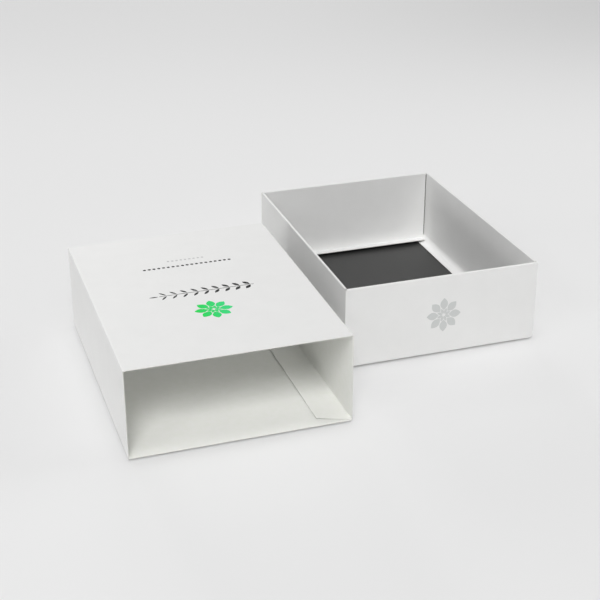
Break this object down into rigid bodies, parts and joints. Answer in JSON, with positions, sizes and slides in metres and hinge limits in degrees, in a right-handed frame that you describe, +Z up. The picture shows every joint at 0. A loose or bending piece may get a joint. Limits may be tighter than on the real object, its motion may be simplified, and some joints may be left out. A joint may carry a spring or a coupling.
{
  "type": "sliding drawer gift box",
  "caption": "White folding-board gift box: a glued sleeve open at both ends, and a double-walled tray with a black floor, drawn out and set beside it.",
  "frame": {"origin": "middle of the sleeve's underside, where it rests on the table", "axes": "+X across the sleeve towards the tray that stands beside it, +Y into the depth of the bore, away from the front end, +Z up"},
  "size_m": [0.3224, 0.2713, 0.064],
  "materials": {
    "coated_board": "matte white coated board",
    "uncoated_board": "plain uncoated reverse of the board",
    "black_card": "matte black card"
  },
  "bodies": {
    "sleeve_floor": {"sleeve_bottom_panel": "coated_board", "sleeve_glue_flap": "uncoated_board"},
    "sleeve_right": {"sleeve_right_wall": "coated_board"},
    "sleeve_top": {"sleeve_top_panel": "coated_board"},
    "sleeve_left": {"sleeve_left_wall": "coated_board"},
    "tray": {"tray_base_panel": "coated_board", "tray_floor_liner": "black_card", "tray_left_outer_wall": "coated_board", "tray_left_rim": "coated_board", "tray_left_inner_wall": "coated_board", "tray_left_floor_flap": "coated_board", "tray_right_outer_wall": "coated_board", "tray_right_rim": "coated_board", "tray_right_inner_wall": "coated_board", "tray_right_floor_flap": "coated_board", "tray_front_outer_wall": "coated_board", "tray_front_rim": "coated_board", "tray_front_inner_wall": "coated_board", "tray_front_floor_flap": "coated_board", "tray_back_outer_wall": "coated_board", "tray_back_rim": "coated_board", "tray_back_inner_wall": "coated_board", "tray_back_floor_flap": "coated_board", "tray_front_left_corner_tab": "uncoated_board", "tray_front_right_corner_tab": "uncoated_board", "tray_back_left_corner_tab": "uncoated_board", "tray_back_right_corner_tab": "uncoated_board"}
  },
  "joints": [
    {"name": "tray_slide", "type": "slide", "parent": "sleeve_floor", "child": "tray", "axis": [0, 1, 0], "range_m": [-0.27155, 0.13245]},
    {"name": "sleeve_fold", "type": "hinge", "parent": "sleeve_floor", "child": "sleeve_right", "pos_m": [0.0755, 0, 0.001], "axis": [0, -1, 0], "range_deg": [0, 85]},
    {"name": "top_crease", "type": "hinge", "parent": "sleeve_right", "child": "sleeve_top", "pos_m": [0.0755, 0, 0.0635], "axis": [0, -1, 0], "range_deg": [-86, 1]},
    {"name": "left_crease", "type": "hinge", "parent": "sleeve_top", "child": "sleeve_left", "pos_m": [-0.0755, 0, 0.0635], "axis": [0, -1, 0], "range_deg": [-1, 86]}
  ],
  "couplings": [
    {"joint": "top_crease", "follows": "sleeve_fold", "ratio": -1},
    {"joint": "left_crease", "follows": "sleeve_fold", "ratio": 1}
  ]
}
